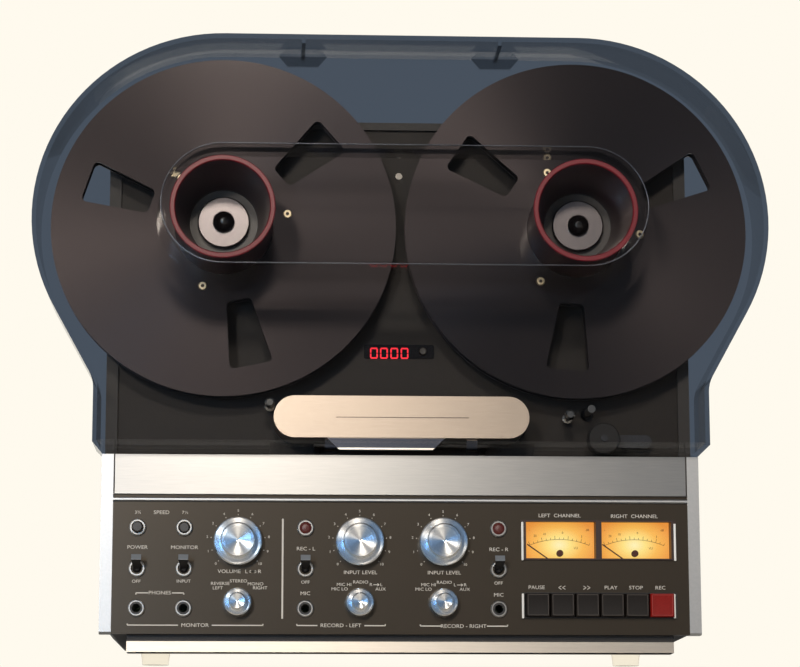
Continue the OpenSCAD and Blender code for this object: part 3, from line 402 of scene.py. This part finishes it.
def addWords(bm, text, x, z, height, y, stretch=1.0):
    curve = bpy.data.curves.new("words", "FONT")
    curve.body = text
    curve.align_x = "CENTER"
    curve.align_y = "CENTER"
    curve.size = height / 1000 / 0.7
    curve.resolution_u = 3
    curve.extrude = 0.00002
    holder = bpy.data.objects.new("words", curve)
    bpy.context.scene.collection.objects.link(holder)
    bpy.context.view_layer.update()
    flat = bpy.data.meshes.new_from_object(holder.evaluated_get(bpy.context.evaluated_depsgraph_get()))
    flat.transform(Matrix.Translation(at(x, y, z)) @ Matrix.Rotation(math.pi / 2, 4, "X")
                   @ Matrix.Diagonal((stretch, 1, 1, 1)))
    before = len(bm.verts)
    bm.from_mesh(flat)
    bm.verts.ensure_lookup_table()
    bmesh.ops.remove_doubles(bm, verts=bm.verts[before:], dist=0.000001)
    bpy.data.objects.remove(holder)
    bpy.data.curves.remove(curve)
    bpy.data.meshes.remove(flat)


def addStroke(bm, x0, z0, x1, z1, width, y, depth=0.06):  # a thin raised line on a face turned to -Y
    run = math.hypot(x1 - x0, z1 - z0)
    made = bmesh.ops.create_cube(bm, size=1)["verts"]
    bmesh.ops.scale(bm, vec=(run / 1000, depth / 1000, width / 1000), verts=made)
    turn = Matrix.Rotation(-math.atan2(z1 - z0, x1 - x0), 4, "Y")
    bmesh.ops.transform(bm, matrix=Matrix.Translation(at((x0 + x1) / 2, y, (z0 + z1) / 2)) @ turn, verts=made)


def addDisc(bm, x, z, d, y0, y1, sides=32, tip=None):  # a round pin from y0 in front to y1 behind
    made = bmesh.ops.create_cone(bm, cap_ends=True, segments=sides, radius1=d / 2000,
                                 radius2=(d if tip is None else tip) / 2000, depth=abs(y1 - y0) / 1000)["verts"]
    place = Matrix.Translation(at(x, (y0 + y1) / 2, z)) @ Matrix.Rotation(math.pi / 2, 4, "X")
    bmesh.ops.transform(bm, matrix=place, verts=made)


def thicken(bm, flats, depth):  # gives flat faces a body that runs back from them
    made = bmesh.ops.extrude_face_region(bm, geom=flats, use_keep_orig=True)["geom"]
    corners = [part for part in made if isinstance(part, bmesh.types.BMVert)]
    bmesh.ops.translate(bm, vec=(0, depth / 1000, 0), verts=corners)
    bmesh.ops.recalc_face_normals(bm, faces=bm.faces[:])


# Words and lines printed on the control panel
panel = {
    "y": -0.06, "small": 2.3, "plain": 2.7, "stretch": 1.15,
    "lineY": -0.03, "line": 0.8, "thin": 0.5, "divider": 1.3,
    "arrowHead": (1.4, 0.9), "chevron": (1.1, 1.3), "chevronGap": 1.5, "chevronRow": 586.5,
    "picture": (401.6, 527.3), "middle": (0, 88.5), "pixel": (0.7494, 0.745),
    "words": [
        ("3\u00be", 137.1, 512.1, "small"), ("SPEED", 160.7, 512.1, "plain"), ("7\u00bd", 184.3, 512.1, "small"),
        ("POWER", 137.1, 547.4, "plain"), ("MONITOR", 184.0, 547.4, "plain"),
        ("OFF", 136.4, 581.7, "small"), ("INPUT", 183.6, 581.4, "small"), ("PHONES", 160.0, 593.1, "plain"),
        ("MONITOR", 195.4, 625.4, "plain"), ("VOLUME", 228.9, 571.4, "plain"),
        ("L", 246.0, 571.4, "plain"), ("R", 259.2, 571.4, "plain"),
        ("STEREO", 238.3, 581.0, "small"), ("REVERSE", 220.0, 583.6, "small"), ("MONO", 255.2, 583.9, "small"),
        ("LEFT", 217.6, 588.1, "small"), ("RIGHT", 259.8, 587.9, "small"),
        ("REC - L", 305.3, 548.3, "plain"), ("OFF", 305.0, 582.0, "small"), ("MIC", 305.0, 593.3, "plain"),
        ("INPUT LEVEL", 360.0, 572.0, "plain"), ("RADIO", 360.3, 581.7, "small"), ("MIC HI", 343.7, 584.2, "small"),
        ("R", 370.6, 584.2, "small"), ("L", 381.0, 584.2, "small"),
        ("MIC LO", 339.2, 588.7, "small"), ("AUX", 380.3, 588.7, "small"),
        ("RECORD - LEFT", 340.5, 625.3, "plain"),
        ("INPUT LEVEL", 444.2, 572.0, "plain"), ("RADIO", 444.2, 581.7, "small"), ("MIC HI", 428.3, 584.2, "small"),
        ("L", 454.8, 584.2, "small"), ("R", 465.2, 584.2, "small"),
        ("MIC LO", 423.3, 588.7, "small"), ("AUX", 464.7, 588.7, "small"),
        ("REC - R", 499.2, 548.3, "plain"), ("OFF", 498.7, 582.3, "small"), ("MIC", 498.8, 594.2, "plain"),
        ("RECORD - RIGHT", 463.3, 625.7, "plain"),
        ("LEFT  CHANNEL", 561.0, 513.6, "plain"), ("RIGHT  CHANNEL", 636.8, 514.0, "plain"),
        ("PAUSE", 537.0, 586.5, "plain"),
        ("PLAY", 612.0, 586.5, "plain"), ("STOP", 637.3, 586.5, "plain"), ("REC", 662.0, 586.5, "plain"),
    ],
    "brackets": [
        (136.4, 148.6, 593.1, 594.8), (183.9, 172.1, 593.1, 594.8), (128.3, 178.6, 625.3, 623.8),
        (262.9, 212.1, 625.3, 623.8), (296.7, 317.2, 625.3, 623.8), (385.0, 364.2, 625.3, 623.8),
        (420.0, 441.2, 625.5, 624.0), (507.5, 486.7, 625.5, 624.0),
    ],
    "dividerAt": (282.1, 517.9, 618.6),
    "arrows": [(248.8, 256.2, 571.4), (256.2, 248.8, 571.4), (373.0, 378.9, 584.2), (457.0, 462.9, 584.2)],
    "chevrons": [(562.6, -1), (587.6, 1)],
}
printInk = newFinish("printInk", "d6cec2", 0.6)


def panelX(px):  # a place in the picture, as millimetres on the panel
    return panel["middle"][0] + (px - panel["picture"][0]) * panel["pixel"][0]


def panelZ(py):
    return panel["middle"][1] - (py - panel["picture"][1]) * panel["pixel"][1]


letters = bmesh.new()
for text, px, py, kind in panel["words"]:
    addWords(letters, text, panelX(px), panelZ(py), panel[kind], panel["y"], panel["stretch"])
addPiece("panelLettering", letters, printInk, "deck")
lines = bmesh.new()


def addLine(x0, z0, x1, z1, width):
    addStroke(lines, x0, z0, x1, z1, width, panel["lineY"])


for corner, end, py, tipY in panel["brackets"]:
    addLine(panelX(corner), panelZ(py), panelX(end), panelZ(py), panel["line"])
    addLine(panelX(corner), panelZ(py), panelX(corner), panelZ(tipY), panel["line"])
for tail, tip, py in panel["arrows"]:
    x, z = panelX(tip), panelZ(py)
    headLength, headRise = panel["arrowHead"]
    addLine(panelX(tail), z, x, z, panel["thin"])
    for rise in (-headRise, headRise):
        addLine(x + math.copysign(headLength, tail - tip), z + rise, x, z, panel["thin"])
for px, way in panel["chevrons"]:
    z = panelZ(panel["chevronRow"])
    for x in (panelX(px) - panel["chevronGap"], panelX(px) + panel["chevronGap"]):
        reach, headRise = panel["chevron"]
        for rise in (-headRise, headRise):
            addLine(x - way * reach, z + rise, x + way * reach, z, panel["thin"])
dividerX, dividerTop, dividerLow = panel["dividerAt"]
addLine(panelX(dividerX), panelZ(dividerTop), panelX(dividerX), panelZ(dividerLow), panel["divider"])
addPiece("panelLines", lines, printInk, "deck")

# Numbered scales round the level knobs
scale = {"numbersR": 23.4, "ticksR": 20.4, "first": 225, "step": -27, "count": 11,
         "size": 1.9, "wide": 1.1, "dot": 0.7}
numbers = bmesh.new()
for name in ("volume_knob", "left_level_knob", "right_level_knob"):
    knobX, _, knobZ = middleOf(name)
    for k in range(scale["count"]):
        angle = math.radians(scale["first"] + k * scale["step"])
        reachX, reachZ = math.cos(angle), math.sin(angle)
        addWords(numbers, str(k), knobX + reachX * scale["numbersR"], knobZ + reachZ * scale["numbersR"],
                 scale["size"], panel["y"], scale["wide"])
        addDisc(numbers, knobX + reachX * scale["ticksR"], knobZ + reachZ * scale["ticksR"],
                scale["dot"], panel["y"], 0, 8)
addPiece("knobScales", numbers, printInk, "deck")
print("panel words and scales drawn")

# Meter faces
dialInk = newFinish("dialInk", "4a1c0c", 0.6)
face = {"arcR": 60, "arcDrop": 58.4, "spread": 22, "parts": 24, "ticks": 15, "short": 1.5, "long": 2.8, "line": 0.3,
        "dotD": 5.0, "dotZ": -9.2, "dotRise": 4, "letter": 1.7, "proud": 0.05,
        "words": [("20", -18.5, 4.2), ("10", -11.5, 5.6), ("0", 2.5, 6.6), ("3", 17.0, 3.8),
                  ("VU", 12.5, -5.0), ("dB", 21.5, 8.8), ("-", -22.5, 8.8)]}
faces = bmesh.new()
for side in (-1, 1):
    faceX, faceZ, faceY = meter["x"] + side * meter["pitch"] / 2, meter["z"], meter["dialY"] - face["proud"]

    def onArc(part, longer=0.0):  # part runs from 0 at the left end of the scale to 1 at the right
        angle = math.radians(90 + face["spread"] * (1 - 2 * part))
        return (faceX + (face["arcR"] + longer) * math.cos(angle),
                faceZ - face["arcDrop"] + (face["arcR"] + longer) * math.sin(angle))

    for k in range(face["parts"]):
        addStroke(faces, *onArc(k / face["parts"]), *onArc((k + 1) / face["parts"]), face["line"], faceY)
    for k in range(face["ticks"]):
        part = k / (face["ticks"] - 1)
        addStroke(faces, *onArc(part), *onArc(part, face["long" if k % 3 == 0 else "short"]), face["line"], faceY)
    for text, dx, dz in face["words"]:
        addWords(faces, text, faceX + dx, faceZ + dz, face["letter"], faceY - face["proud"])
    addDisc(faces, faceX, faceZ + face["dotZ"], face["dotD"], faceY - face["dotRise"], faceY, 32)
addPiece("meterFaces", faces, dialInk, "deck")

# Fine inset lines on the keys, painted highlights where each key's face meets its bevel
inset = {"edge": 1.3, "line": 0.5, "proud": 0.02, "depth": 0.05}
keyBevelHighlight, redBevelHighlight = newFinish("keyBevelHighlight", "3d342c", 0.5), newFinish("redBevelHighlight", "97241a", 0.5)
for name in ("pause_key", "rewind_key", "forward_key", "play_key", "stop_key", "record_key"):
    low, high = ((corner - datum) * 1000 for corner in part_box(name))
    half = (high.x - low.x) / 2 - inset["edge"]
    left, right = low.x + inset["edge"], high.x - inset["edge"]
    bottom, top = (low.z + high.z) / 2 - half, (low.z + high.z) / 2 + half
    bevelHighlight = bmesh.new()
    for line in ((left, top, right, top), (left, bottom, right, bottom),
                 (left, bottom, left, top), (right, bottom, right, top)):
        # painted highlight: lighter strokes round each key face, inset from its edge
        addStroke(bevelHighlight, *line, inset["line"], low.y - inset["proud"], inset["depth"])
    addPiece(name + "_bevelHighlight", bevelHighlight, redBevelHighlight if name == "record_key" else keyBevelHighlight, name)

# Bright end strips beside the meters and the keys
strip = {"w": 1.7, "rise": 1.2, "back": -1.5, "round": 0.5,
         "places": [(522.9, 520.2, 559.4), (677.2, 521.5, 559.4), (522.9, 592.8, 617.8), (675.6, 592.8, 617.4)]}
strips = bmesh.new()
for px, top, low in strip["places"]:
    addBox(strips, at(panelX(px) - strip["w"] / 2, strip["back"] - strip["rise"], panelZ(low)),
           at(panelX(px) + strip["w"] / 2, strip["back"], panelZ(top)))
bmesh.ops.bevel(strips, geom=strips.edges[:], offset=strip["round"] / 1000, segments=2, profile=0.5,
                affect="EDGES", material=-1)
addPiece("endStrips", strips, newFinish("whiteTrim", "f2eee6", 0.35), "deck")

# Dark joints where the broad strip meets the corner trims
joint = {"w": 1.1, "t": 0.3, "proud": 0.05}
joints = bmesh.new()
stripLow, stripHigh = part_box("brushed_strip")
for x in (stripLow.x, stripHigh.x - joint["w"] / 1000):
    addBox(joints, Vector((x, stripLow.y - joint["proud"] / 1000, stripLow.z)),
           Vector((x + joint["w"] / 1000, stripLow.y + joint["t"] / 1000, stripHigh.z)))
addPiece("stripJoints", joints, newFinish("jointDark", "241c16", 0.6), "deck")

# Rounded front edge of the raised field in the clear cover
field = {"r": 45.6, "front": -66, "bead": 0.5, "steps": 40, "sides": 10}
bead = bmesh.new()
turns = [2 * math.pi * j / field["sides"] for j in range(field["sides"])]
rings = []
for k in range(2 * field["steps"]):
    side = 1 if k < field["steps"] else -1
    angle = math.pi * (k % field["steps"]) / (field["steps"] - 1) - math.pi / 2
    outX, outZ = side * math.cos(angle), side * math.sin(angle)
    x, z = side * reelAxis["x"] + field["r"] * outX, reelAxis["z"] + field["r"] * outZ
    rings.append([bead.verts.new(at(x + field["bead"] * math.cos(t) * outX,
                                    field["front"] + field["bead"] * (1 + math.sin(t)),
                                    z + field["bead"] * math.cos(t) * outZ)) for t in turns])
for k, ring in enumerate(rings):
    after = rings[(k + 1) % len(rings)]
    for j in range(field["sides"]):
        bead.faces.new([ring[j], ring[j - 1], after[j - 1], after[j]])
bmesh.ops.recalc_face_normals(bead, faces=bead.faces[:])
addPiece("fieldEdge", bead, newFinish("edgeGloss", "5e6168", 0.28, 1.0), "dust_cover", True)

# Smoked stems and feet of the two tabs under the cover's top
tab = {"x": 76, "stem": 3, "under": 462.9, "foot": (12, 19), "footTop": 466, "footLow": 458, "front": -14,
       "inset": 3.2, "film": 0.1}
tabs = bmesh.new()
tabBack = (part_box("dust_cover")[1].y - datum.y) * 1000 - tab["inset"]
for x in (-tab["x"], tab["x"]):
    addBox(tabs, at(x - tab["stem"] / 2, tab["front"], tab["under"] - tab["film"]),
           at(x + tab["stem"] / 2, tabBack, tab["under"]))
    narrow, wide = tab["foot"]
    foot = tabs.faces.new([tabs.verts.new(at(x + dx, tabBack, z)) for dx, z in (
        (-narrow, tab["footLow"]), (narrow, tab["footLow"]), (wide, tab["footTop"]), (-wide, tab["footTop"]))])
    thicken(tabs, [foot], tab["film"])
addPiece("coverTabs", tabs, clearFinish("tabSmoke", (0.7, 0.715, 0.73, 1), 1.1), "dust_cover")

# Counter digits
counter = {"y": 38.55, "z": 229.5, "places": [-19.5, -11.7, -3.7, 4.3], "w": 5.0, "h": 7.6, "stroke": 1.1, "gap": 0.4}
digits = bmesh.new()
for x in counter["places"]:
    w, h, gap = counter["w"] / 2, counter["h"] / 2, counter["gap"]
    for x0, z0, x1, z1 in ((-w, h, w, h), (-w, -h, w, -h), (-w, gap, -w, h - gap), (-w, gap - h, -w, -gap),
                           (w, gap, w, h - gap), (w, gap - h, w, -gap)):
        addStroke(digits, x + x0, counter["z"] + z0, x + x1, counter["z"] + z1, counter["stroke"], counter["y"])
digitGlow = newFinish("digitGlow", "40100c", 0.5)
setInputs(shaderOf(digitGlow), {"Emission Color": paint("f5142e"), "Emission Strength": 1.6})
addPiece("counterDigits", digits, digitGlow, "deck")

# Screws on the reels and the deck
screw = {"d": 7.0, "top": 5.6, "slot": 2.6, "slotRise": 0.1, "slotSink": 0.2, "h": 1.6, "r": 50, "flangeY": 14.4,
         "left_reel": (-1, (11.5, 131.5, 251.5)), "right_reel": (1, (116, -4, 236))}
screwBrass, slotDark = newFinish("screwBrass", "d2c4a6", 0.4, 1.0), newFinish("slotDark", "1c1611", 0.6)
screwTop = screw["flangeY"] - screw["h"]
for body in ("left_reel", "right_reel"):
    side, angles = screw[body]
    heads, slots = bmesh.new(), bmesh.new()
    for degrees in angles:
        angle = math.radians(degrees)
        x = side * reelAxis["x"] + screw["r"] * math.cos(angle)
        z = reelAxis["z"] + screw["r"] * math.sin(angle)
        addDisc(heads, x, z, screw["d"], screwTop, screw["flangeY"], 24, screw["top"])
        addDisc(slots, x, z, screw["slot"], screwTop - screw["slotRise"], screw["flangeY"] - screw["slotSink"], 16)
    addPiece(body.replace("_reel", "ReelScrews"), heads, screwBrass, body)
    addPiece(body.replace("_reel", "ReelSlots"), slots, slotDark, body)
stud = {"z": 371, "d": 6.5, "top": 5.4, "front": 38.6, "back": 40}
deckScrew = bmesh.new()
addDisc(deckScrew, 0, stud["z"], stud["d"], stud["front"], stud["back"], 24, stud["top"])
addPiece("deckScrew", deckScrew, finishes["polishedSteel"], "deck")

# Grey end faces of the toggle levers, and dark mouths of the sockets
lever = {"length": 17.0, "tilt": -25, "w": 7.4, "h": 4.6, "t": 0.4, "round": 0.18, "ballY": 1.0, "ballZ": 57.735}
leverEnd = newFinish("leverEnd", "86898b", 0.35, 0.6)
for body in dressing["leverDark"]:
    plate = bmesh.new()
    half = Vector((lever["w"], lever["t"], lever["h"])) / 2000
    tip = Vector((0, -lever["length"] / 1000, 0))
    addBox(plate, tip - half, tip + half)
    bmesh.ops.bevel(plate, geom=plate.edges[:], offset=lever["round"] / 1000, segments=2, profile=0.5,
                    affect="EDGES", material=-1)
    ball = Matrix.Translation(at(middleOf(body).x, lever["ballY"], lever["ballZ"]))
    swing = Matrix.Rotation(math.radians(lever["tilt"]), 4, "X")
    bmesh.ops.transform(plate, matrix=ball @ swing, verts=plate.verts[:])
    addPiece(body + "_end", plate, leverEnd, body)
mouth = {"outer": 4.8, "inner": 3.25, "y": -2.53, "z": 28.035, "sides": 32, "depth": 0.02,
         "x": (-198.338, -163.401, -72.478, 72.912)}
mouths = bmesh.new()
for x in mouth["x"]:
    for k in range(mouth["sides"]):
        start, end = (2 * math.pi * turn / mouth["sides"] for turn in (k, k + 1))
        mouths.faces.new([mouths.verts.new(at(x + r * math.cos(a), mouth["y"], mouth["z"] + r * math.sin(a)))
                          for r, a in ((mouth["inner"], start), (mouth["inner"], end),
                                       (mouth["outer"], end), (mouth["outer"], start))])
bmesh.ops.remove_doubles(mouths, verts=mouths.verts[:], dist=0.00001)
thicken(mouths, mouths.faces[:], mouth["depth"])
addPiece("socketMouths", mouths, newFinish("socketBlack", "14110f", 0.5), "deck")

# Engraved line on the head cover
groove = {"left": -49.9, "right": 50.9, "z": 172.5, "w": 0.55, "y": -4.02, "depth": 0.05}
engraving = bmesh.new()
addStroke(engraving, groove["left"], groove["z"], groove["right"], groove["z"],
          groove["w"], groove["y"], groove["depth"])
addPiece("headCoverLine", engraving, newFinish("engravedDark", "5a4f48", 0.6), "head_cover")
print("small fittings made")

# Stage: pale floor seen from above only, world, lamps and camera
stage = {"floor": "f1ece2", "backdrop": "fffaee", "through": "4f5a68", "floorLift": 0.68, "floorHalf": 6,
         "room": (0.71, 0.82, 1.0, 1), "roomStrength": 0.24, "rearFrom": -0.2, "rearTo": 0.3, "layers": 1.5}
floorBm = bmesh.new()
bmesh.ops.create_grid(floorBm, x_segments=1, y_segments=1, size=stage["floorHalf"])
floorMesh = bpy.data.meshes.new("floor")
floorBm.to_mesh(floorMesh)
floorBm.free()
floor = bpy.data.objects.new("floor", floorMesh)
bpy.context.scene.collection.objects.link(floor)
floorPaint = newFinish("floorPaint", stage["floor"], 0.8)
floorPath = addNode(floorPaint, "ShaderNodeLightPath")
lifted = measured(floorPaint, floorPath, "Is Camera Ray", "MULTIPLY", stage["floorLift"])
setInputs(shaderOf(floorPaint), {"Emission Color": paint(stage["backdrop"])})
wire(floorPaint, lifted, "Value", shaderOf(floorPaint), "Emission Strength")
oneSided = addNode(floorPaint, "ShaderNodeMixShader")
wire(floorPaint, addNode(floorPaint, "ShaderNodeNewGeometry"), "Backfacing", oneSided, 0)
wire(floorPaint, shaderOf(floorPaint), "BSDF", oneSided, 1)
wire(floorPaint, addNode(floorPaint, "ShaderNodeBsdfTransparent"), "BSDF", oneSided, 2)
wire(floorPaint, oneSided, "Shader", floorPaint.node_tree.nodes["Material Output"], "Surface")
floorMesh.materials.append(floorPaint)

world = bpy.data.worlds.new("studio")
bpy.context.scene.world = world
world.use_nodes = True
room = world.node_tree.nodes["Background"]
setInputs(room, {"Color": stage["room"], "Strength": stage["roomStrength"]})
path = addNode(world, "ShaderNodeLightPath")
turned = addNode(world, "ShaderNodeSeparateXYZ")
wire(world, addNode(world, "ShaderNodeTexCoord"), "Generated", turned, 0)
rear = addNode(world, "ShaderNodeMapRange")  # the backdrop stands behind the machine, a dim room in front
setInputs(rear, {"From Min": stage["rearFrom"], "From Max": stage["rearTo"]})
wire(world, turned, "Y", rear, "Value")
mirrors = measured(world, path, "Is Glossy Ray", "MAXIMUM")
wire(world, path, "Is Transmission Ray", mirrors, 1)
rearward = measured(world, mirrors, "Value", "MULTIPLY")
wire(world, rear, "Result", rearward, 1)
seenPale = measured(world, path, "Is Camera Ray", "MAXIMUM")
wire(world, rearward, "Value", seenPale, 1)
behind = addNode(world, "ShaderNodeMixShader")  # a dim wall through the clear cover, the pale backdrop elsewhere
wire(world, measured(world, path, "Transparent Depth", "GREATER_THAN", stage["layers"]), "Value", behind, 0)
wire(world, addNode(world, "ShaderNodeBackground", Color=paint(stage["backdrop"])), "Background", behind, 1)
wire(world, addNode(world, "ShaderNodeBackground", Color=paint(stage["through"])), "Background", behind, 2)
pick = addNode(world, "ShaderNodeMixShader")
wire(world, seenPale, "Value", pick, 0)
wire(world, room, "Background", pick, 1)
wire(world, behind, "Shader", pick, 2)
wire(world, pick, "Shader", world.node_tree.nodes["World Output"], "Surface")


def addLamp(name, place, target, size, power, colour):
    data = bpy.data.lights.new(name, "AREA")
    data.shape = "RECTANGLE"
    data.size, data.size_y = size
    data.energy = power
    data.color = colour
    lamp = bpy.data.objects.new(name, data)
    lamp.location = place
    lamp.rotation_euler = (Vector(target) - Vector(place)).to_track_quat("-Z", "Y").to_euler()
    bpy.context.scene.collection.objects.link(lamp)
    return lamp


addLamp("keyLamp", (-1.45, -4.7, 1.25), (0, 0, 0.25), (0.4, 0.4), 70, (1.0, 0.91, 0.80))
addLamp("highLamp", (-0.14, -3.0, 1.54), (0, 0, 0.2), (0.4, 0.25), 30, (1.0, 0.92, 0.82))
addLamp("backLamp", (0.9, 2.4, 1.9), (0, 0, 0.25), (1.6, 1.2), 30, (1.0, 0.98, 0.95)).visible_glossy = False
addLamp("windowLamp", (-0.75, -2.05, 0.05), (0, 0, 0.2), (0.35, 0.5), 9, (0.36, 0.64, 1.0))

view = {"place": (-0.1018, -2.062, -0.1331), "yaw": 0.05028, "pitch": 0.18516, "roll": -0.00125,
        "lens": 120.05, "sensor": 36}
cameraData = bpy.data.cameras.new("camera")
cameraData.lens = view["lens"]
cameraData.sensor_width = view["sensor"]
camera = bpy.data.objects.new("camera", cameraData)
camera.location = view["place"]
level = math.cos(view["pitch"])
aim = Vector((math.sin(view["yaw"]) * level, math.cos(view["yaw"]) * level, math.sin(view["pitch"])))
rolled = aim.to_track_quat("-Z", "Y").to_matrix() @ Matrix.Rotation(view["roll"], 3, "Z")
camera.rotation_euler = rolled.to_euler()
bpy.context.scene.collection.objects.link(camera)
bpy.context.scene.camera = camera
bpy.context.scene.view_settings.view_transform = "Standard"
print("stage set")
